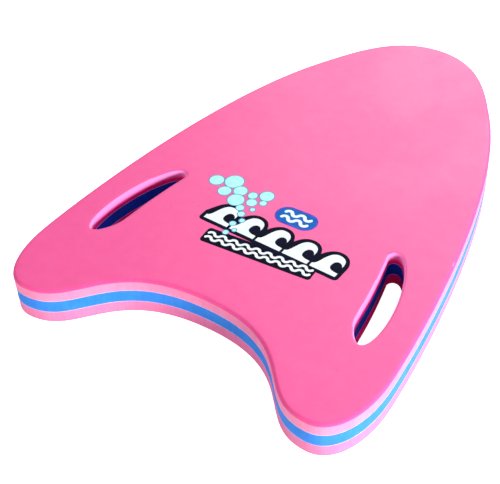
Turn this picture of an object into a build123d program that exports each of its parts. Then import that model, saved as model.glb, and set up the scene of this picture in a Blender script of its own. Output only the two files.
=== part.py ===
from build123d import *
import math
import os

# A swimming kickboard: three foam sheets bonded face to face and cut to one outline, with two
# hand slots through all three and a heat transfer print on the top face.
# Millimetres. +Y to the nose, +X to the swimmer's right, +Z up. The origin is on the underside,
# below the middle of the board's length and width.

# Board outline, right half
board_length = 450.0
board_width = 312.0
nose_reach = 46.0            # length of the nose curve's flat start
shoulder_setback = 73.3      # shoulder, back from the nose
shoulder_inset = 70.3        # shoulder, in from the widest point
shoulder_angle = 30.0        # lean of the side there, from the board's axis
shoulder_nose_reach = 34.5
shoulder_side_reach = 113.4
widest_from_tail = 56.6
widest_side_reach = 35.4
widest_lobe_reach = 33.8
lobe_tip_inset = 31.5        # lobe tip, in from the widest point
lobe_outer_reach = 19.0
lobe_inner_reach = 47.5
notch_depth = 59.6
notch_reach = 90.0           # length of the notch floor's flat start

# Thickness
sheet_thickness = 10.9
bond_thickness = 0.15
top_edge_radius = 3.0
bottom_edge_radius = 1.2     # the underside's edge is left nearly square

# Hand slots, in the slot's own frame: U along it to the nose, V across it to the board's side
slot_inset = 44.0            # slot centre, in from the widest point
slot_from_tail = 127.0
slot_tilt = 12.0             # nose end leans inwards
slot_length = 98.0
slot_crest = 12.6            # outer wall, at its fullest
slot_crest_shift = -1.0
slot_nose_reach = 9.0        # length of the outer wall's steep start at the nose end
slot_tail_reach = 7.2
slot_heel = 10.9             # inner wall, at its fullest
slot_heel_shift = -28.0
slot_flank = 7.2             # inner wall near the nose end
slot_nose_radius = 5.0
slot_tail_drop = 9.9         # tail tip, out from the inner wall at its fullest
slot_mouth_radius = 2.2

# Print, drawn about its own middle
film_thickness = 0.12
print_from_tail = 142.5
print_board_width = 312.0    # board that the sizes below are drawn for; others scale the print
print_x = 10.7

crest_count = 5
crest_pitch = 25.4
crest_gap = 2.4
crest_height = 22.0
crest_base = 4.2
crest_top = 0.60             # highest point, as a share of the width
crest_row_slant = -3.3
crest_margin = 3.4           # backing film left showing round the crests

ripple_waves = 9
ripple_pitch = 10.2
ripple_swing = 1.5
ripple_stroke = 2.4
ripple_rows = 2
ripple_row_pitch = 5.3
ripple_drop = 21.6           # second line of the print, below the first
ripple_shift = -2.0
ripple_slant = 2.6
ripple_margin = 2.9

badge_length = 37.0
badge_height = 20.5
badge_rim = 1.3
badge_x = 2.3
badge_rise = 28.0
badge_rows = 2
badge_waves = 2
badge_pitch = 11.5
badge_swing = 1.9
badge_stroke = 2.9
badge_row_pitch = 6.8

bubble_rim = 0.7
bubbles = [                  # X and Y from the print's middle, radius
    (-69.5, 36.5, 6.8),
    (-55.5, 42.0, 8.6),
    (-44.5, 34.5, 6.4),
    (-56.0, 28.0, 6.2),
    (-41.5, 23.0, 7.6),
    (-32.5, 34.5, 4.6),
    (-22.0, 39.5, 6.6),
    (-28.5, 26.5, 5.0),
    (-20.0, 30.5, 3.6),
    (-33.0, 16.5, 4.0),
    (-23.0, 19.5, 2.8),
    (-28.0, 10.5, 3.6),
    (-23.0, 4.0, 2.8),
    (-27.5, -2.5, 3.2),
    (-22.0, -8.5, 2.4),
    (-26.5, -14.0, 3.0),
]

# Places worked out from the sizes above
side_x = board_width / 2
nose_y = board_length / 2
tail_y = -board_length / 2
middle_bottom = sheet_thickness + bond_thickness
top_bottom = middle_bottom + sheet_thickness + bond_thickness
board_top = top_bottom + sheet_thickness
print_y = tail_y + print_from_tail
print_scale = board_width / print_board_width
crest_row_width = crest_count * crest_pitch - crest_gap
quarter_round = 0.5523       # curve handle for a quarter circle, as a share of its radius


def board_outline():
    """Closed wire of the board's outline: nose, shoulder, widest point, lobe, notch, mirrored."""
    nose = Vector(0, nose_y)
    shoulder = Vector(side_x - shoulder_inset, nose_y - shoulder_setback)
    lean = math.radians(shoulder_angle)
    side_way = Vector(math.sin(lean), -math.cos(lean))
    widest = Vector(side_x, tail_y + widest_from_tail)
    lobe = Vector(side_x - lobe_tip_inset, tail_y)
    notch = Vector(0, tail_y + notch_depth)
    across = Vector(1, 0)
    along = Vector(0, 1)
    right = [
        Bezier(nose, nose + across * nose_reach,
               shoulder - side_way * shoulder_nose_reach, shoulder),
        Bezier(shoulder, shoulder + side_way * shoulder_side_reach,
               widest + along * widest_side_reach, widest),
        Bezier(widest, widest - along * widest_lobe_reach,
               lobe + across * lobe_outer_reach, lobe),
        Bezier(lobe, lobe - across * lobe_inner_reach,
               notch + across * notch_reach, notch),
    ]
    return Wire(right + [edge.mirror(Plane.YZ) for edge in right])


def slot_outline():
    """Closed wire of the right hand slot: full outer wall, nearly straight inner wall."""
    half_length = slot_length / 2
    nose = Vector(half_length, slot_nose_radius - slot_flank)
    crest = Vector(slot_crest_shift, slot_crest)
    tail = Vector(-half_length, slot_tail_drop - slot_heel)
    heel = Vector(slot_heel_shift, -slot_heel)
    flank = Vector(half_length - slot_nose_radius, -slot_flank)
    along = Vector(1, 0)
    across = Vector(0, 1)
    crest_reach = along * half_length / 2
    heel_reach = along * half_length / 4
    corner = slot_nose_radius * quarter_round
    walls = [
        Bezier(nose, nose + across * slot_nose_reach, crest + crest_reach, crest),
        Bezier(crest, crest - crest_reach, tail + across * slot_tail_reach, tail),
        Bezier(tail, tail - across * slot_tail_drop / 2, heel - heel_reach / 2, heel),
        Bezier(heel, heel + heel_reach, flank - along * half_length, flank),
        Bezier(flank, flank + along * corner, nose - across * corner, nose),
    ]
    place = Pos(side_x - slot_inset, tail_y + slot_from_tail) * Rot(0, 0, 90 + slot_tilt)
    return Wire([place * wall.mirror(Plane.XZ) for wall in walls])


def board_blank():
    """Flat face that each sheet and each bond film is cut to."""
    slot = slot_outline()
    return Face(board_outline(), [slot, slot.mirror(Plane.YZ)])


def foam_sheet(bottom_z):
    """One square-edged foam sheet."""
    return Solid.extrude(Pos(0, 0, bottom_z) * board_blank(), Vector(0, 0, sheet_thickness))


def round_over(sheet, end, radius):
    """Rounds one face's outer edge and slot mouths; end is -1 for the top face, 0 for the bottom."""
    face = sheet.faces().sort_by(Axis.Z)[end]
    mouths = [edge for wire in face.inner_wires() for edge in wire.edges()]
    sheet = sheet.fillet(slot_mouth_radius, mouths)
    face = sheet.faces().sort_by(Axis.Z)[end]
    return sheet.fillet(radius, face.outer_wire().edges())


def bond_film(bottom_z):
    """Adhesive film between two sheets, out to the cut edge."""
    return Solid.extrude(Pos(0, 0, bottom_z) * board_blank(), Vector(0, 0, bond_thickness))


def crest():
    """Face of one breaking wave, its foot on X from 0 to its width."""
    width = crest_pitch - crest_gap
    height = crest_height
    base = crest_base
    top = Vector(crest_top * width, height)
    lip = Vector(0.97 * width, 0.52 * height)
    hollow = Vector(0.60 * width, 0.50 * height)
    outline = [
        Line((0, 0), (0, base)),
        Bezier((0, base), (0.24 * width, base), (0.16 * width, height), top),
        Bezier(top, (0.88 * width, height), (width, 0.80 * height), lip),
        Bezier(lip, (0.88 * width, 0.74 * height), (0.64 * width, 0.76 * height), hollow),
        Bezier(hollow, (0.56 * width, 0.24 * height), (0.74 * width, base), (width, base)),
        Line((width, base), (width, 0)),
        Line((width, 0), (0, 0)),
    ]
    return Face(Wire(outline))


def crest_backing():
    """Face of the dark film behind one wave: its outer shape with a margin, down to the foot band."""
    width = crest_pitch - crest_gap
    height = crest_height
    left = -crest_margin
    right = width + crest_margin
    foot = crest_base / 2
    heel = crest_base + crest_margin
    high = height + crest_margin
    shoulder = Vector(crest_top * width, high)
    outline = [
        Line((left, foot), (left, heel)),
        Bezier((left, heel), (0, 0.60 * height), (0.12 * width, high), shoulder),
        Bezier(shoulder, (0.92 * width, high), (right, 0.90 * height), (right, 0.50 * height)),
        Line((right, 0.50 * height), (right, foot)),
        Line((right, foot), (left, foot)),
    ]
    backing = Face(Wire(outline))
    corner = backing.vertices().sort_by_distance((left, heel))[0]
    return backing.fillet_2d(crest_margin / 2, [corner])


def crest_row_place():
    """The foot of the row of waves, at its left end."""
    start = Pos(-crest_row_width / 2, -crest_height / 2)
    return Pos(print_x, 0) * Rot(0, 0, crest_row_slant) * start


def in_crest_row(face):
    """A face repeated along the row of waves."""
    return [crest_row_place() * Pos(place * crest_pitch, 0) * face for place in range(crest_count)]


def crest_foot_band():
    """Round-cornered band of dark film along the foot of the waves."""
    length = crest_row_width + 2 * crest_margin
    height = crest_base + 2 * crest_margin
    middle = Pos(crest_row_width / 2, crest_base / 2)
    return crest_row_place() * middle * RectangleRounded(length, height, crest_margin)


def ripple(waves, pitch, swing, stroke):
    """Face of one wavy round-ended stroke along X, its middle at the origin."""
    half_pitch = pitch / 2
    start = -waves * half_pitch
    line = Curve()
    for half_wave in range(2 * waves):
        left = start + half_wave * half_pitch
        side = 1 if half_wave % 2 == 0 else -1
        line += ThreePointArc((left, 0), (left + half_pitch / 2, side * swing),
                              (left + half_pitch, 0))
    ends = [Pos(x, 0) * Circle(stroke / 2) for x in (start, -start)]
    return trace(line, stroke) + ends


def ripple_row_place():
    return Pos(print_x + ripple_shift, -ripple_drop) * Rot(0, 0, ripple_slant)


def stacked(face, rows, row_pitch):
    """Copies of a face above one another, their middle at the origin."""
    return [Pos(0, (row - (rows - 1) / 2) * row_pitch) * face for row in range(rows)]


def ripple_lines():
    stroke = ripple(ripple_waves, ripple_pitch, ripple_swing, ripple_stroke)
    return [ripple_row_place() * line for line in stacked(stroke, ripple_rows, ripple_row_pitch)]


def ripple_backing():
    """Round-ended band of dark film behind the ripple lines."""
    length = ripple_waves * ripple_pitch + 2 * ripple_margin
    height = (ripple_rows - 1) * ripple_row_pitch + 2 * ripple_swing + ripple_stroke
    band = RectangleRounded(length, height + 2 * ripple_margin, ripple_margin)
    return ripple_row_place() * band


def bubble_discs(inset):
    """One disc for each bubble, inset from its rim; a later bubble covers an earlier one."""
    discs = []
    for number, (x, y, radius) in enumerate(bubbles):
        disc = Pos(x, y) * Circle(radius - inset)
        for cover_x, cover_y, cover_radius in bubbles[number + 1:]:
            if math.dist((x, y), (cover_x, cover_y)) < radius + cover_radius:
                disc -= Pos(cover_x, cover_y) * Circle(cover_radius)
        discs.append(disc)
    return discs


def cut_by_bubbles(faces):
    """Faces with the bubbles that are printed over them left out."""
    covers = [Pos(x, y) * Circle(radius) for x, y, radius in bubbles]
    return [Sketch() + face - covers for face in faces]


def badge_place():
    return Pos(print_x + badge_x, badge_rise)


def print_film(faces):
    """Ink film on the board's top face, one solid for each separate area."""
    place = Pos(0, print_y, board_top)
    thickness = Vector(0, 0, film_thickness)
    areas = [area for face in faces for area in (Sketch() + face).faces()]
    scaled = [area.scale(print_scale, about=(0, 0, 0)) for area in areas]
    return [Solid.extrude(place * area, thickness) for area in scaled]


def foam_parts():
    """The three sheets and the two bond films between them."""
    return {
        "bottom_sheet": [round_over(foam_sheet(0), 0, bottom_edge_radius)],
        "lower_bond_film": [bond_film(sheet_thickness)],
        "middle_sheet": [foam_sheet(middle_bottom)],
        "upper_bond_film": [bond_film(middle_bottom + sheet_thickness)],
        "top_sheet": [round_over(foam_sheet(top_bottom), -1, top_edge_radius)],
    }


def wave_print_parts():
    """Pale waves and ripple lines let into one dark backing, with the bubbles printed over them."""
    waves = cut_by_bubbles(in_crest_row(crest()))
    ripples = cut_by_bubbles(ripple_lines())
    backing = Sketch() + in_crest_row(crest_backing()) + crest_foot_band() + ripple_backing()
    backing = cut_by_bubbles([backing])[0] - waves - ripples
    return {
        "print_backing": print_film([backing]),
        "print_waves": print_film(waves),
        "print_ripples": print_film(ripples),
    }


def bubble_print_parts():
    """Bubbles, each a pale disc in a darker rim."""
    discs = bubble_discs(bubble_rim)
    rims = [whole - disc for whole, disc in zip(bubble_discs(0), discs)]
    return {
        "print_bubbles": print_film(discs),
        "print_bubble_rims": print_film(rims),
    }


def badge_print_parts():
    """Round-ended badge with a darker rim and plain water lines."""
    plate = badge_place() * SlotOverall(badge_length, badge_height)
    field = badge_place() * SlotOverall(badge_length - 2 * badge_rim, badge_height - 2 * badge_rim)
    stroke = ripple(badge_waves, badge_pitch, badge_swing, badge_stroke)
    lines = [badge_place() * line for line in stacked(stroke, badge_rows, badge_row_pitch)]
    return {
        "badge_rim": print_film([plate - field]),
        "badge_field": print_film([field - lines]),
        "badge_water_lines": print_film(lines),
    }


def write_parts(parts):
    """One STEP file for each node."""
    os.makedirs("parts", exist_ok=True)
    for name, solids in parts.items():
        node = solids[0] if len(solids) == 1 else Compound(children=solids)
        export_step(node, f"parts/{name}.step")


write_parts({**foam_parts(), **wave_print_parts(), **bubble_print_parts(), **badge_print_parts()})
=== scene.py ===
import bmesh
import bpy
import math
from mathutils import Matrix, Vector, noise


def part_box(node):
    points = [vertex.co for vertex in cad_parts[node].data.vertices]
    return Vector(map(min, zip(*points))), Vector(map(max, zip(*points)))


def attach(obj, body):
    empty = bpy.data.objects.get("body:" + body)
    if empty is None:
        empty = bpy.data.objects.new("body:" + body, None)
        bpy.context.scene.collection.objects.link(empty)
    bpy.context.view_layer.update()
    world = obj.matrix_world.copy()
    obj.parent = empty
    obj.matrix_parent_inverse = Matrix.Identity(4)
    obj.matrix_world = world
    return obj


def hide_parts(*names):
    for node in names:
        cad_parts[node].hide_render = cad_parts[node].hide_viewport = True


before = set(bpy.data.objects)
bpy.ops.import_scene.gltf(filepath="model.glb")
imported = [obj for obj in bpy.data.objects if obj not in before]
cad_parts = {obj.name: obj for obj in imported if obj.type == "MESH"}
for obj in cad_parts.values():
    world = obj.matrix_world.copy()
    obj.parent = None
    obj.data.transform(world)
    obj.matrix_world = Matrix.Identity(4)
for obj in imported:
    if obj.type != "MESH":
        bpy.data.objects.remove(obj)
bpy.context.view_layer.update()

# ---------------------------------------------------------------- table, camera and lights
# The board lies on a white table top, seen from beyond its right lobe. Soft lamps stand to the
# right, over the nose and low to the left, and the white room fills in from every side.

MM = 0.001

camera_place = Vector((366.1, -617.8, 606.3)) * MM
camera_turn = math.radians(35.34)
camera_tilt = math.radians(41.89)
camera_roll = math.radians(-3.165)

room_tint = (0.92, 0.94, 1, 1)
room_light = 0.27             # what the room gives the board
room_brightness = 1.2         # how bright the room itself looks

table_reach = 6
table_drop = 0.1 * MM         # clear of the board's underside
table_white = (0.9, 0.9, 0.9, 1)

camera = bpy.data.objects.new("camera", bpy.data.cameras.new("camera"))
bpy.context.scene.collection.objects.link(camera)
bpy.context.scene.camera = camera
camera.data.sensor_width = 36
camera.data.lens = 79.6
camera.data.clip_start = 0.01
camera.matrix_world = (Matrix.Translation(camera_place) @ Matrix.Rotation(camera_turn, 4, "Z")
                       @ Matrix.Rotation(math.pi / 2 - camera_tilt, 4, "X")
                       @ Matrix.Rotation(camera_roll, 4, "Z"))
bpy.context.scene.view_settings.view_transform = "Standard"


def soft_lamp(name, place, size, watts, shows_in_gloss):
    """A rectangular lamp aimed at the board; out of the gloss, it lights without a glare."""
    lamp = bpy.data.lights.new(name, "AREA")
    lamp.shape = "RECTANGLE"
    lamp.size, lamp.size_y = size
    lamp.energy = watts
    holder = bpy.data.objects.new(name, lamp)
    bpy.context.scene.collection.objects.link(holder)
    aim = (-Vector(place)).to_track_quat("-Z", "Y").to_matrix().to_4x4()
    holder.matrix_world = Matrix.Translation(place) @ aim
    holder.visible_glossy = shows_in_gloss


soft_lamp("right_lamp", place=(1.52, -0.40, 0.46), size=(0.9, 0.32), watts=46,
          shows_in_gloss=False)
soft_lamp("left_lamp", place=(-1.15, -1.30, 0.38), size=(1.0, 0.30), watts=13,
          shows_in_gloss=False)
soft_lamp("nose_lamp", place=(-0.30, 1.6, 1.05), size=(1.4, 0.7), watts=34,
          shows_in_gloss=True)

room = bpy.data.worlds.new("white_room")
room.use_nodes = True
room_shader = room.node_tree.nodes["Background"]
room_shader.inputs["Color"].default_value = room_tint
looked_at = room.node_tree.nodes.new("ShaderNodeLightPath").outputs["Is Camera Ray"]
room_strength = room.node_tree.nodes.new("ShaderNodeMapRange")
room_strength.inputs["To Min"].default_value = room_light
room_strength.inputs["To Max"].default_value = room_brightness
room.node_tree.links.new(looked_at, room_strength.inputs["Value"])
room.node_tree.links.new(room_strength.outputs["Result"], room_shader.inputs["Strength"])
bpy.context.scene.world = room

table_mesh = bmesh.new()
bmesh.ops.create_grid(table_mesh, x_segments=8, y_segments=8, size=table_reach)
bmesh.ops.translate(table_mesh, verts=table_mesh.verts, vec=(0, 0, -table_drop))
table = bpy.data.objects.new("table", bpy.data.meshes.new("table"))
table_mesh.to_mesh(table.data)
table_mesh.free()
bpy.context.scene.collection.objects.link(table)

table_top = bpy.data.materials.new("white_table_top")
table_top.use_nodes = True
table_shader = table_top.node_tree.nodes["Principled BSDF"]
table_shader.inputs["Base Color"].default_value = table_white
table_shader.inputs["Roughness"].default_value = 0.9
table_shader.inputs["Specular IOR Level"].default_value = 0.0
table_shader.inputs["Emission Color"].default_value = (1, 1, 1, 1)
seen = table_top.node_tree.nodes.new("ShaderNodeLightPath").outputs["Is Camera Ray"]
table_top.node_tree.links.new(seen, table_shader.inputs["Emission Strength"])
table.data.materials.append(table_top)


# ---------------------------------------------------------------- bottom sheet
# Closed-cell EVA foam, pink, cut with the other two sheets to one outline. The outer face keeps
# its moulded skin and is rounded over at the rim and at both hand slots. The flank and the slot
# walls are raw cuts through the cells.

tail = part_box("bottom_sheet")[0].y
side, nose, sheet_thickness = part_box("bottom_sheet")[1]

# Outline, right half
nose_reach = 46.0 * MM             # length of the nose curve's flat start
shoulder_setback = 73.3 * MM       # shoulder, back from the nose
shoulder_inset = 70.3 * MM         # shoulder, in from the widest point
shoulder_lean = math.radians(30)   # lean of the side there, from the board's axis
shoulder_nose_reach = 34.5 * MM
shoulder_side_reach = 113.4 * MM
widest_from_tail = 56.6 * MM
widest_side_reach = 35.4 * MM
widest_lobe_reach = 33.8 * MM
lobe_tip_inset = 31.5 * MM         # lobe tip, in from the widest point
lobe_outer_reach = 19.0 * MM
lobe_inner_reach = 47.5 * MM
notch_depth = 59.6 * MM
notch_reach = 90.0 * MM            # length of the notch floor's flat start

# Hand slots, in the slot's own frame: along it to the nose, out across it to the board's side
slot_middle = Vector((side - 44.0 * MM, tail + 127.0 * MM, 0))
slot_turn = math.radians(102)      # from the board's width to the slot's length
slot_half_length = 49.0 * MM
slot_crest = 12.6 * MM             # outer wall, at its fullest
slot_crest_shift = -1.0 * MM
slot_nose_reach = 9.0 * MM         # length of the outer wall's steep start at the nose end
slot_tail_reach = 7.2 * MM
slot_heel = 10.9 * MM              # inner wall, at its fullest
slot_heel_shift = -28.0 * MM
slot_flank = 7.2 * MM              # inner wall near the nose end
slot_nose_radius = 5.0 * MM
slot_tail_drop = 9.9 * MM          # tail tip, out from the inner wall at its fullest
slot_zone = Vector((30.0, 60.0)) * MM   # half the box that holds a slot and nothing else
quarter_round = 0.5523             # curve handle for a quarter circle, as a share of its radius

# Edges and faces
bottom_edge_round = 1.2 * MM
slot_round = 2.2 * MM
seam_round = 0.35 * MM             # corner where a sheet meets its bond
flank_hollow = 0.20 * MM           # the cut springs back between the bonds
flank_wander = 0.12 * MM           # the blade's wander along the cut
wanders_per_metre = 60.0
skin_swell = 0.15 * MM             # rise and fall of the skin
swells_per_metre = 22.0
swell_fade = 25.0 * MM             # the swell dies out this near to a print
bottom_dents = [                   # X, Y, radius and depth in millimetres
    (60, 110, 7, 0.30),
    (-82, 30, 6, 0.25),
]

# Fineness of the mesh
outline_steps = 84
slot_steps = 22
round_steps = 7
flank_rings = 5
skin_cell = 4.0 * MM
skin_grid_shift = 0.37 * MM        # keeps the cells' lines off the outline's own points
same_place = 0.01 * MM
shortest_upright = 3.0 * MM        # a flank's upright edge is longer than this
straight_angle = math.radians(1)


def outline_points():
    """Curve points of the outline, each with its two handles, from the nose to the right."""
    along = Vector((0, 1, 0))
    across = Vector((1, 0, 0))
    down_side = Vector((math.sin(shoulder_lean), -math.cos(shoulder_lean), 0))
    shoulder = Vector((side - shoulder_inset, nose - shoulder_setback, 0))
    widest = Vector((side, tail + widest_from_tail, 0))
    lobe = Vector((side - lobe_tip_inset, tail, 0))
    notch = Vector((0, tail + notch_depth, 0))
    right = [
        (Vector((0, nose, 0)), -across * nose_reach, across * nose_reach),
        (shoulder, -down_side * shoulder_nose_reach, down_side * shoulder_side_reach),
        (widest, along * widest_side_reach, -along * widest_lobe_reach),
        (lobe, across * lobe_outer_reach, -across * lobe_inner_reach),
        (notch, across * notch_reach, -across * notch_reach),
    ]
    flip = Matrix.Diagonal((-1, 1, 1))
    return right + [(flip @ place, flip @ after, flip @ before)
                    for place, before, after in reversed(right[1:-1])]


def slot_points(hand):
    """Curve points of one hand slot from its nose end; hand is 1 on the right, -1 on the left."""
    along = Vector((1, 0, 0))
    out = Vector((0, 1, 0))
    crest_reach = slot_half_length / 2
    heel_reach = slot_half_length / 4
    corner = slot_nose_radius * quarter_round
    points = [
        (along * slot_half_length + out * (slot_nose_radius - slot_flank),
         -out * corner, out * slot_nose_reach),
        (along * slot_crest_shift + out * slot_crest,
         along * crest_reach, -along * crest_reach),
        (-along * slot_half_length + out * (slot_tail_drop - slot_heel),
         out * slot_tail_reach, -out * slot_tail_drop / 2),
        (along * slot_heel_shift - out * slot_heel,
         -along * heel_reach / 2, along * heel_reach),
        (along * (slot_half_length - slot_nose_radius) - out * slot_flank,
         -along * slot_half_length, along * corner),
    ]
    hand_side = Matrix.Diagonal((hand, 1, 1))
    turn = hand_side @ Matrix.Rotation(slot_turn, 3, "Z") @ Matrix.Diagonal((1, -1, 1))
    middle = hand_side @ slot_middle
    return [(turn @ place + middle, turn @ before, turn @ after)
            for place, before, after in points]


def cut_blank():
    """Flat blank on z = 0, cut to the outline and the two slots."""
    curve = bpy.data.curves.new("die", "CURVE")
    curve.dimensions = "2D"
    curve.fill_mode = "BOTH"
    for points, steps in ((outline_points(), outline_steps), (slot_points(1), slot_steps),
                          (slot_points(-1), slot_steps)):
        spline = curve.splines.new("BEZIER")
        spline.bezier_points.add(len(points) - 1)
        spline.use_cyclic_u = True
        spline.resolution_u = steps
        for point, (place, before, after) in zip(spline.bezier_points, points):
            point.handle_left_type = "FREE"
            point.handle_right_type = "FREE"
            point.co = place
            point.handle_left = place + before
            point.handle_right = place + after
    die = bpy.data.objects.new("die", curve)
    bpy.context.scene.collection.objects.link(die)
    flat = bpy.data.meshes.new_from_object(die)
    bpy.data.objects.remove(die)
    bm = bmesh.new()
    bm.from_mesh(flat)
    bpy.data.meshes.remove(flat)
    bmesh.ops.remove_doubles(bm, verts=bm.verts, dist=same_place)
    bmesh.ops.dissolve_limit(bm, angle_limit=straight_angle, verts=[], edges=bm.edges)
    bmesh.ops.recalc_face_normals(bm, faces=bm.faces)
    return bm


def thicken(bm, thickness):
    """Raises a flat blank into a plate with square edges."""
    raised = bmesh.ops.extrude_face_region(bm, geom=bm.faces[:])["geom"]
    lifted = [part for part in raised if isinstance(part, bmesh.types.BMVert)]
    bmesh.ops.translate(bm, verts=lifted, vec=(0, 0, thickness))
    bmesh.ops.recalc_face_normals(bm, faces=bm.faces)


def by_slot(point):
    """True for a point of a slot's wall or mouth."""
    return (abs(abs(point.x) - slot_middle.x) < slot_zone.x
            and abs(point.y - slot_middle.y) < slot_zone.y)


def edge_loops(bm, z):
    """Rim edges at height z, as two lists: the outer rim and the slot mouths."""
    rim = [edge for edge in bm.edges
           if all(abs(vert.co.z - z) < same_place for vert in edge.verts)
           and sum(abs(face.normal.z) > 0.5 for face in edge.link_faces) == 1]
    outer = [edge for edge in rim if not by_slot(edge.verts[0].co)]
    return outer, [edge for edge in rim if by_slot(edge.verts[0].co)]


def round_over(bm, edges, radius, steps):
    bmesh.ops.bevel(bm, geom=edges, offset=radius, segments=steps, profile=0.5, affect="EDGES",
                    material=-1, clamp_overlap=False)


def level_faces(bm, z):
    """The flat faces that lie at height z."""
    return [face for face in bm.faces
            if abs(face.normal.z) > 0.999 and abs(face.verts[0].co.z - z) < same_place]


def grid_skin(bm, z):
    """Divides the flat face at height z into small cells."""
    for axis, reach in ((0, side), (1, nose)):
        normal = Vector((1, 0, 0)) if axis == 0 else Vector((0, 1, 0))
        count = int(reach / skin_cell)
        for step in range(-count, count + 1):
            cut = step * skin_cell + skin_grid_shift
            crossed = [face for face in level_faces(bm, z)
                       if min(vert.co[axis] for vert in face.verts) < cut
                       < max(vert.co[axis] for vert in face.verts)]
            parts = list({part for face in crossed
                          for part in [face, *face.edges, *face.verts]})
            bmesh.ops.bisect_plane(bm, geom=parts, dist=same_place / 10, plane_co=normal * cut,
                                   plane_no=normal)


def foam_sheet(edge_round):
    """One sheet on z = 0 up, its skin face the upper; 0 leaves the middle sheet's square edge."""
    bm = cut_blank()
    thicken(bm, sheet_thickness)
    outer, mouths = edge_loops(bm, sheet_thickness)
    if edge_round:
        round_over(bm, outer, edge_round, round_steps)
        round_over(bm, edge_loops(bm, sheet_thickness)[1], slot_round, round_steps)
    else:
        round_over(bm, outer + mouths, seam_round, 2)
    outer, mouths = edge_loops(bm, 0)
    round_over(bm, outer + mouths, seam_round, 2)
    upright = [edge for edge in bm.edges
               if abs(edge.verts[0].co.z - edge.verts[1].co.z) > shortest_upright]
    bmesh.ops.subdivide_edges(bm, edges=upright, cuts=flank_rings, use_grid_fill=True)
    if edge_round:
        grid_skin(bm, sheet_thickness)
    return bm


def settle_skin(bm, dents, printed=None):
    """Lets a skin face rise and fall a little, away from a printed box, and presses its dents."""
    for vert in bm.verts:
        if vert.co.z < sheet_thickness / 2:
            continue
        away = 1.0
        if printed:
            low, high = printed
            gap = max(low.x - vert.co.x, vert.co.x - high.x,
                      low.y - vert.co.y, vert.co.y - high.y, 0)
            away = min(gap / swell_fade, 1.0)
        wave = 0.5 + 0.5 * noise.noise(Vector(vert.co) * swells_per_metre)
        drop = skin_swell * wave * away
        for x, y, radius, depth in dents:
            near = math.dist((x * MM, y * MM), vert.co.xy) / (radius * MM)
            if near < 1:
                drop += depth * MM * (1 - near * near) ** 2
        vert.co.z -= drop


def spring_flank(bm, top_radius, mouth_radius):
    """Hollows the cut walls between their corners and lets them wander as the blade did."""
    moves = []
    for vert in bm.verts:
        top = sheet_thickness - (mouth_radius if by_slot(vert.co) else top_radius)
        share = (vert.co.z - seam_round) / (top - seam_round)
        if abs(vert.normal.z) < 0.3 and 0 < share < 1:
            bow = 4 * share * (1 - share)
            place = Vector((vert.co.x, vert.co.y, vert.co.z * 3)) * wanders_per_metre
            drift = flank_wander * noise.noise(place) - flank_hollow
            moves.append((vert, vert.normal * drift * bow))
    for vert, move in moves:
        vert.co += move


# Finish of the foam
# Painted shade: the skin's colour where it rolls over the rim and in its burst pits
pink_skin_shade = (0.85, 0.045, 0.220, 1)
pink_skin = (0.86, 0.088, 0.300, 1)
pink_hazy = (0.91, 0.145, 0.390, 1)
# Painted shade: the bottom sheet's cut is a deeper copy of the top sheet's pink cut, for the
# shade low down by the table
shaded_low_pink_cut = (0.83, 0.220, 0.415, 1)
shaded_low_pink_cut_dark = (0.72, 0.115, 0.300, 1)
shaded_low_pink_cut_pale = (0.87, 0.275, 0.465, 1)
# Painted shade: the slot walls take a deeper, darker copy of the pink cut, for the shade inside
# the slots
shaded_pink_wall = (0.94, 0.010, 0.260, 1)
shaded_pink_wall_dark = (0.60, 0.004, 0.110, 1)
speck_colour = (0.16, 0.03, 0.07, 1)

skin_gloss = 0.45
flank_gloss = 0.4
wall_gloss = 0.05                  # little light glances off inside a slot

skin_cells_per_metre = 1500.0
cut_cells_per_metre = 1300.0
skin_relief = 0.035 * MM
cut_relief = 0.06 * MM

bottom_skin_edge = 0.4 * MM        # the skin ends this far down the rounded edge
slot_skin_edge = 0.4 * MM

# Heights above or below the middle of the board's thickness
board_middle = (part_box("bottom_sheet")[0].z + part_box("top_sheet")[1].z) / 2
# The skin's painted shade on the rolled rim deepens between these two heights
roll_shade_starts = board_middle - 0.1 * MM
roll_shade_deepest = board_middle - 0.9 * MM
# Painted light: a top-sheet slot wall turns paler from the first height to the second, towards
# the mouth, where the lamps reach into the slot
mouth_light_from = board_middle - 8.5 * MM
mouth_light_fully = board_middle - 4.5 * MM


def node(tree, kind, inputs, **settings):
    """A shader node with its settings, and its inputs as numbers or as sockets to link."""
    made = tree.nodes.new(kind)
    for name, value in settings.items():
        setattr(made, name, value)
    for socket, value in inputs.items():
        if isinstance(value, bpy.types.NodeSocket):
            tree.links.new(value, made.inputs[socket])
        else:
            made.inputs[socket].default_value = value
    return made


def ramp(tree, value, low, high, to_low=0.0, to_high=1.0):
    """A value eased from one range to another."""
    made = node(tree, "ShaderNodeMapRange", {"Value": value, "From Min": low, "From Max": high,
                                             "To Min": to_low, "To Max": to_high},
                interpolation_type="SMOOTHSTEP")
    return made.outputs["Result"]


def maths(tree, operation, one, other=0.0):
    return node(tree, "ShaderNodeMath", {0: one, 1: other}, operation=operation).outputs["Value"]


def tint(tree, amount, base, over):
    """Base colour turned towards another by a mask."""
    made = node(tree, "ShaderNodeMix", {"Factor": amount, "A": base, "B": over}, data_type="RGBA")
    return made.outputs[2]


def some_cells(tree, cells, channel, low, high):
    """Mask of a few cells of a Voronoi pattern, picked by one channel of their random colour."""
    picked = node(tree, "ShaderNodeSeparateColor", {"Color": cells.outputs["Color"]})
    return ramp(tree, picked.outputs[channel], low, high)


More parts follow.
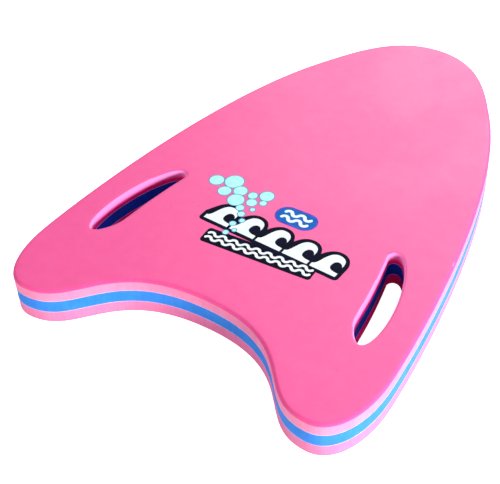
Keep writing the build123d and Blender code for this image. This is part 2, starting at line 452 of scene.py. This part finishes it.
def effect(name, inputs, outputs):
    """An empty shader node group with named sockets, and its input and output nodes."""
    tree = bpy.data.node_groups.new(name, "ShaderNodeTree")
    for socket, value in inputs.items():
        kind = "NodeSocketVector" if value is None else "NodeSocketFloat"
        made = tree.interface.new_socket(socket, in_out="INPUT", socket_type=kind)
        if value is not None:
            made.default_value = value
    for socket in outputs:
        tree.interface.new_socket(socket, in_out="OUTPUT", socket_type="NodeSocketFloat")
    return tree, tree.nodes.new("NodeGroupInput").outputs, tree.nodes.new("NodeGroupOutput")


def use_effect(tree, group, inputs):
    return node(tree, "ShaderNodeGroup", inputs, node_tree=group).outputs


def foam_cells():
    """Closed-cell foam: cell walls, patches of lighter and darker foam, and burst cells."""
    tree, given, out = effect("foam_cells", {"Position": None, "Cells per metre": 1800.0},
                              ["Walls", "Tone", "Burst"])
    scale = given["Cells per metre"]
    cells = node(tree, "ShaderNodeTexVoronoi", {"Vector": given["Position"], "Scale": scale})
    walls = ramp(tree, cells.outputs["Distance"], 0.15, 0.75)
    patches = node(tree, "ShaderNodeTexNoise",
                   {"Vector": given["Position"], "Scale": maths(tree, "MULTIPLY", scale, 0.06),
                    "Detail": 5.0, "Roughness": 0.62})
    few = node(tree, "ShaderNodeTexVoronoi",
               {"Vector": given["Position"], "Scale": maths(tree, "MULTIPLY", scale, 0.22)})
    chosen = some_cells(tree, few, "Red", 0.86, 0.90)
    pit = ramp(tree, few.outputs["Distance"], 0.20, 0.08)
    tree.links.new(walls, out.inputs["Walls"])
    tree.links.new(ramp(tree, patches.outputs["Fac"], 0.3, 0.7), out.inputs["Tone"])
    tree.links.new(maths(tree, "MULTIPLY", chosen, pit), out.inputs["Burst"])
    return tree


def handling_marks():
    """What handling leaves: dark specks, hairline scuffs and soft smudges."""
    tree, given, out = effect("handling_marks", {"Position": None, "Specks per metre": 75.0},
                              ["Specks", "Scuffs", "Smudges"])
    dots = node(tree, "ShaderNodeTexVoronoi",
                {"Vector": given["Position"], "Scale": given["Specks per metre"]})
    chosen = some_cells(tree, dots, "Green", 0.80, 0.84)
    dot = ramp(tree, dots.outputs["Distance"], 0.040, 0.022)
    lean = node(tree, "ShaderNodeMapping", {"Vector": given["Position"], "Rotation": (0, 0, 0.6),
                                            "Scale": (14.0, 420.0, 60.0)})
    hair = node(tree, "ShaderNodeTexNoise",
                {"Vector": lean.outputs["Vector"], "Scale": 1.0, "Detail": 3.0})
    hairs = ramp(tree, hair.outputs["Fac"], 0.66, 0.74)
    soft = node(tree, "ShaderNodeTexNoise",
                {"Vector": given["Position"], "Scale": 16.0, "Detail": 3.0, "Roughness": 0.5})
    smudges = ramp(tree, soft.outputs["Fac"], 0.35, 0.68)
    tree.links.new(maths(tree, "MULTIPLY", chosen, dot), out.inputs["Specks"])
    tree.links.new(maths(tree, "MULTIPLY", hairs, smudges), out.inputs["Scuffs"])
    tree.links.new(smudges, out.inputs["Smudges"])
    return tree


cells_effect = foam_cells()
marks_effect = handling_marks()


def start_material(name):
    """A new material: itself, its node tree, its shader and the object's own coordinates."""
    material = bpy.data.materials.new(name)
    material.use_nodes = True
    tree = material.node_tree
    place = tree.nodes.new("ShaderNodeTexCoord").outputs["Object"]
    return material, tree, tree.nodes["Principled BSDF"], place


def relief(tree, shader, height, depth):
    """Feeds a height pattern of the given depth to the shader's normal."""
    bump = node(tree, "ShaderNodeBump", {"Height": height, "Distance": depth, "Strength": 1.0})
    tree.links.new(bump.outputs["Normal"], shader.inputs["Normal"])


def height_from_middle(tree, place):
    """Distance above or below the middle of the board's thickness."""
    height = node(tree, "ShaderNodeSeparateXYZ", {"Vector": place}).outputs["Z"]
    return maths(tree, "ABSOLUTE", maths(tree, "SUBTRACT", height, board_middle))


def skin_material(name, colour, shade_colour, pale):
    """Moulded skin: satin, finely pebbled, with painted shade where it rolls over the rim."""
    material, tree, shader, place = start_material(name)
    foam = use_effect(tree, cells_effect,
                      {"Position": place, "Cells per metre": skin_cells_per_metre})
    marks = use_effect(tree, marks_effect, {"Position": place})
    mottled = tint(tree, ramp(tree, foam["Tone"], 0.0, 1.0, 0.0, 0.16), colour, pale)
    # Painted shade: the skin turns deeper as it rolls over the rim, away from the lamps
    roll_shade_mask = ramp(tree, height_from_middle(tree, place), roll_shade_starts, roll_shade_deepest, 0.0, 0.2)
    roll_shaded = tint(tree, roll_shade_mask, mottled, shade_colour)
    # Painted shade in the burst pits, where the relief sinks
    pitted = tint(tree, maths(tree, "MULTIPLY", foam["Burst"], 0.35), roll_shaded, shade_colour)
    scuffed = tint(tree, maths(tree, "MULTIPLY", marks["Scuffs"], 0.35), pitted, pale)
    specked = tint(tree, maths(tree, "MULTIPLY", marks["Specks"], 0.75), scuffed, speck_colour)
    tree.links.new(specked, shader.inputs["Base Color"])
    tree.links.new(ramp(tree, marks["Smudges"], 0.0, 1.0, 0.50, 0.54), shader.inputs["Roughness"])
    shader.inputs["Specular IOR Level"].default_value = skin_gloss
    pits = maths(tree, "MULTIPLY", foam["Burst"], 2.5)
    relief(tree, shader, maths(tree, "SUBTRACT", foam["Walls"], pits), skin_relief)
    return material


def cut_material(name, colour, dark, pale, gloss, lit_mouth=None):
    """Raw cut through the foam: open cells between thin walls, with the blade's faint drag lines.

    A colour given for the mouth is painted light on a slot's wall, paler towards the mouth where
    the lamps reach in.
    """
    material, tree, shader, place = start_material(name)
    foam = use_effect(tree, cells_effect,
                      {"Position": place, "Cells per metre": cut_cells_per_metre})
    drag = node(tree, "ShaderNodeMapping", {"Vector": place, "Scale": (420.0, 420.0, 25.0)})
    lines = node(tree, "ShaderNodeTexNoise", {"Vector": drag.outputs["Vector"], "Scale": 1.0,
                                              "Detail": 3.0, "Roughness": 0.6}).outputs["Fac"]
    mottled = tint(tree, ramp(tree, foam["Tone"], 0.0, 1.0, 0.0, 0.4), colour, pale)
    dragged = tint(tree, ramp(tree, lines, 0.35, 0.7, 0.0, 0.25), mottled, dark)
    # Painted shade: the open cells and the burst pits darken where their relief sinks
    shaded_cells = tint(tree, ramp(tree, foam["Walls"], 0.0, 0.5, 0.35, 0.0), dragged, dark)
    finished = tint(tree, maths(tree, "MULTIPLY", foam["Burst"], 0.5), shaded_cells, dark)
    # Painted light towards a slot's mouth, where the lamps reach in
    if lit_mouth:
        painted_mouth_light = ramp(tree, height_from_middle(tree, place), mouth_light_from, mouth_light_fully)
        finished = tint(tree, painted_mouth_light, finished, lit_mouth)
    tree.links.new(finished, shader.inputs["Base Color"])
    tree.links.new(ramp(tree, lines, 0.3, 0.7, 0.70, 0.58), shader.inputs["Roughness"])
    shader.inputs["Specular IOR Level"].default_value = gloss
    pits = maths(tree, "MULTIPLY", foam["Burst"], 2.0)
    pitted = maths(tree, "SUBTRACT", foam["Walls"], pits)
    lined = maths(tree, "ADD", pitted, maths(tree, "MULTIPLY", lines, 0.8))
    relief(tree, shader, lined, cut_relief)
    return material


def finish_sheet(bm, name, low, finishes, skin_edge=0, flipped=False):
    """Gives a sheet's faces their finishes, turns it over if flipped, and lifts it to its height.

    The finishes are those of the flank, the slot walls and, on an outer sheet, the skin.
    """
    flank, wall, skin = 0, 1, 2
    for face in bm.faces:
        centre = face.calc_center_median()
        in_slot = by_slot(centre)
        skin_end = sheet_thickness - (slot_skin_edge if in_slot else skin_edge)
        on_skin = skin_edge and centre.z > skin_end
        face.material_index = skin if on_skin else wall if in_slot else flank
        face.smooth = True
    if flipped:
        bmesh.ops.scale(bm, vec=(1, 1, -1), verts=bm.verts)
        bmesh.ops.reverse_faces(bm, faces=bm.faces)
        bmesh.ops.translate(bm, vec=(0, 0, sheet_thickness), verts=bm.verts)
    bmesh.ops.translate(bm, vec=(0, 0, low), verts=bm.verts)
    sheet = bpy.data.objects.new(name, bpy.data.meshes.new(name))
    bm.to_mesh(sheet.data)
    bm.free()
    for finish in finishes:
        sheet.data.materials.append(finish)
    bpy.context.scene.collection.objects.link(sheet)
    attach(sheet, "root")
    return sheet


pink_skin_finish = skin_material("pink_foam_skin", pink_skin, pink_skin_shade, pink_hazy)
# Bottom sheet's flank: the deeper copy of the pink cut, painted shade
shaded_low_flank_finish = cut_material("low_pink_foam_cut_shaded", shaded_low_pink_cut, shaded_low_pink_cut_dark, shaded_low_pink_cut_pale,
                                 flank_gloss)
# Bottom sheet's slot walls: the shaded copy of the pink foam, painted shade
shaded_pink_wall_finish = cut_material("pink_foam_shaded_slot_wall", shaded_pink_wall, shaded_pink_wall_dark, shaded_pink_wall,
                                wall_gloss)

bm = foam_sheet(bottom_edge_round)
settle_skin(bm, bottom_dents)
spring_flank(bm, bottom_edge_round, slot_round)
bottom = finish_sheet(bm, "bottom_foam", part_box("bottom_sheet")[0].z,
                      [shaded_low_flank_finish, shaded_pink_wall_finish, pink_skin_finish],
                      bottom_skin_edge, flipped=True)
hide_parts("bottom_sheet")


# ---------------------------------------------------------------- lower bond
# Hot-melt film that joins two sheets under heat and pressure. It squeezes out into a fine
# pale bead along the cut edge.

bead_reach = 0.30 * MM             # the bead above and below the film's middle
bead_round = 0.27 * MM
bead_steps = 3
bead_width = 0.5 * MM              # further in, the film is down to its own thickness
bond_inset = 0.02 * MM             # the film stops this far inside the cut
largest_fringe = 0.4 * MM * MM     # a face of the inset strip is smaller than this
bond_relief = 0.05 * MM

bond_lilac = (0.54, 0.45, 0.90, 1)
bond_pale = (0.76, 0.68, 0.96, 1)


def bond_material():
    """Set hot-melt: glossier than the foam, and unevenly pale where it has beaded."""
    material, tree, shader, place = start_material("bond_film")
    beading = node(tree, "ShaderNodeTexNoise", {"Vector": place, "Scale": 260.0, "Detail": 2.0})
    tone = ramp(tree, beading.outputs["Fac"], 0.35, 0.7)
    tree.links.new(tint(tree, tone, bond_lilac, bond_pale), shader.inputs["Base Color"])
    tree.links.new(ramp(tree, tone, 0.0, 1.0, 0.28, 0.45), shader.inputs["Roughness"])
    relief(tree, shader, tone, bond_relief)
    return material


def inset(bm, faces, thickness):
    bmesh.ops.inset_region(bm, faces=faces, thickness=thickness, use_boundary=True,
                           use_even_offset=True)


def bond(name, cad_node, finish):
    """One bond: a thin film with a rounded bead at its rim."""
    low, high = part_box(cad_node)
    film_reach = (high.z - low.z) / 2
    bm = cut_blank()
    inset(bm, bm.faces[:], bond_inset)
    fringe = [face for face in bm.faces if face.calc_area() < largest_fringe]
    bmesh.ops.delete(bm, geom=fringe, context="FACES")
    thicken(bm, 2 * bead_reach)
    rims = [edge for z in (0, 2 * bead_reach) for loop in edge_loops(bm, z) for edge in loop]
    round_over(bm, rims, bead_round, bead_steps)
    for z, film_z in ((2 * bead_reach, bead_reach + film_reach), (0, bead_reach - film_reach)):
        flat = level_faces(bm, z)
        inset(bm, flat, bead_width)
        for vert in {vert for face in flat for vert in face.verts}:
            vert.co.z = film_z
    for face in bm.faces:
        face.smooth = True
    bmesh.ops.translate(bm, vec=(0, 0, (low.z + high.z) / 2 - bead_reach), verts=bm.verts)
    film = bpy.data.objects.new(name, bpy.data.meshes.new(name))
    bm.to_mesh(film.data)
    bm.free()
    film.data.materials.append(finish)
    bpy.context.scene.collection.objects.link(film)
    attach(film, "root")
    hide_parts(cad_node)


bond_finish = bond_material()
bond("lower_bond", "lower_bond_film", bond_finish)


# ---------------------------------------------------------------- middle sheet
# Azure closed-cell EVA foam between the two bonds. It is bare on both faces, and only its cut
# edge and slot walls show.

azure_cut = (0.022, 0.232, 0.740, 1)
azure_cut_dark = (0.010, 0.130, 0.600, 1)
azure_cut_pale = (0.060, 0.310, 0.840, 1)
# Painted shade: the slot walls take a deeper, darker copy of the azure cut, for the shade inside
# the slots
shaded_azure_wall = (0.006, 0.060, 0.560, 1)
shaded_azure_wall_dark = (0.002, 0.020, 0.300, 1)

azure_flank_finish = cut_material("azure_foam_cut", azure_cut, azure_cut_dark, azure_cut_pale,
                                  flank_gloss)
shaded_azure_wall_finish = cut_material("azure_foam_shaded_slot_wall", shaded_azure_wall, shaded_azure_wall_dark,
                                 azure_cut_dark, wall_gloss)

bm = foam_sheet(0)
spring_flank(bm, seam_round, seam_round)
middle = finish_sheet(bm, "middle_foam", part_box("middle_sheet")[0].z,
                      [azure_flank_finish, shaded_azure_wall_finish])
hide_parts("middle_sheet")


# ---------------------------------------------------------------- upper bond
# The second hot-melt film, the same as the lower one. It joins the top sheet to the middle sheet
# and beads along the cut edge in the same way.

bond("upper_bond", "upper_bond_film", bond_finish)


# ---------------------------------------------------------------- top sheet
# Pink closed-cell EVA foam like the bottom sheet, skin side up, with a wider roll at the rim.
# Its skin takes the print, so it is flat there, and it has a few shallow dents from use.

top_edge_round = 3.0 * MM
top_skin_edge = 2.4 * MM
top_dents = [                      # X, Y, radius and depth in millimetres
    (-58, 148, 8, 0.20),
    (92, 62, 9, 0.18),
    (-96, -60, 7, 0.16),
]

pink_cut = (0.87, 0.255, 0.425, 1)
pink_cut_dark = (0.75, 0.140, 0.320, 1)
pink_cut_pale = (0.91, 0.340, 0.500, 1)
# Painted light on the top sheet's slot walls near the mouth
lit_pink_wall_mouth = (0.90, 0.250, 0.560, 1)

print_low, print_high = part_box("print_backing")
for cad_node in ("print_bubble_rims", "badge_rim"):
    low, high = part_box(cad_node)
    print_low = Vector(map(min, print_low, low))
    print_high = Vector(map(max, print_high, high))

pink_flank_finish = cut_material("pink_foam_cut", pink_cut, pink_cut_dark, pink_cut_pale,
                                 flank_gloss)
# Top sheet's slot walls: painted shade, with painted light towards the mouth
shaded_lit_mouth_wall_finish = cut_material("pink_slot_wall_shade_and_lit_mouth", shaded_pink_wall, shaded_pink_wall_dark, shaded_pink_wall,
                                wall_gloss, lit_pink_wall_mouth)

bm = foam_sheet(top_edge_round)
settle_skin(bm, top_dents, (print_low, print_high))
spring_flank(bm, top_edge_round, slot_round)
top = finish_sheet(bm, "top_foam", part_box("top_sheet")[0].z,
                   [pink_flank_finish, shaded_lit_mouth_wall_finish, pink_skin_finish], top_skin_edge)
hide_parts("top_sheet")


# ---------------------------------------------------------------- print
# Heat-transfer ink films on the top sheet's skin: pale waves and ripples let into a near-black
# backing, aqua bubbles with darker rims, and a blue badge with plain water lines.

ink_gloss = 0.02
ink_relief = 0.02 * MM

inks = {                           # each ink, and the tone that it blotches to
    "print_backing": ((0.002, 0.003, 0.012, 1), (0.005, 0.006, 0.024, 1)),
    "print_waves": ((0.86, 0.90, 0.90, 1), (0.74, 0.84, 0.87, 1)),
    "print_ripples": ((0.86, 0.90, 0.90, 1), (0.70, 0.82, 0.87, 1)),
    "print_bubbles": ((0.46, 0.90, 0.83, 1), (0.38, 0.83, 0.80, 1)),
    "print_bubble_rims": ((0.07, 0.26, 0.50, 1), (0.12, 0.34, 0.56, 1)),
    "badge_rim": ((0.075, 0.060, 0.520, 1), (0.12, 0.09, 0.60, 1)),
    "badge_field": ((0.006, 0.110, 0.420, 1), (0.012, 0.140, 0.470, 1)),
    "badge_water_lines": ((0.84, 0.90, 0.90, 1), (0.74, 0.84, 0.87, 1)),
}


def transfer_ink():
    """Transferred ink: a faint blotchy tone, pinholes, and the foam's pebble showing through."""
    tree, given, out = effect("transfer_ink", {"Position": None}, ["Tone", "Pinholes", "Pebble"])
    blotch = node(tree, "ShaderNodeTexNoise",
                  {"Vector": given["Position"], "Scale": 170.0, "Detail": 4.0, "Roughness": 0.6})
    holes = node(tree, "ShaderNodeTexVoronoi", {"Vector": given["Position"], "Scale": 420.0})
    chosen = some_cells(tree, holes, "Blue", 0.93, 0.96)
    hole = ramp(tree, holes.outputs["Distance"], 0.12, 0.06)
    pebble = node(tree, "ShaderNodeTexVoronoi",
                  {"Vector": given["Position"], "Scale": skin_cells_per_metre})
    tree.links.new(ramp(tree, blotch.outputs["Fac"], 0.35, 0.68), out.inputs["Tone"])
    tree.links.new(maths(tree, "MULTIPLY", chosen, hole), out.inputs["Pinholes"])
    tree.links.new(ramp(tree, pebble.outputs["Distance"], 0.1, 0.75), out.inputs["Pebble"])
    return tree


ink_effect = transfer_ink()


def ink_material(name, colour, second):
    """One transferred ink: flat-looking, with the pink skin at its pinholes."""
    material, tree, shader, place = start_material(name)
    ink = use_effect(tree, ink_effect, {"Position": place})
    toned = tint(tree, ink["Tone"], colour, second)
    holed = tint(tree, maths(tree, "MULTIPLY", ink["Pinholes"], 0.5), toned, pink_skin)
    tree.links.new(holed, shader.inputs["Base Color"])
    tree.links.new(ramp(tree, ink["Tone"], 0.0, 1.0, 0.50, 0.60), shader.inputs["Roughness"])
    shader.inputs["Specular IOR Level"].default_value = ink_gloss
    relief(tree, shader, maths(tree, "SUBTRACT", ink["Pebble"], ink["Pinholes"]), ink_relief)
    return material


for cad_node, (colour, second) in inks.items():
    finish = ink_material(cad_node + "_ink", colour, second)
    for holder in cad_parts[cad_node].material_slots:
        holder.material = finish
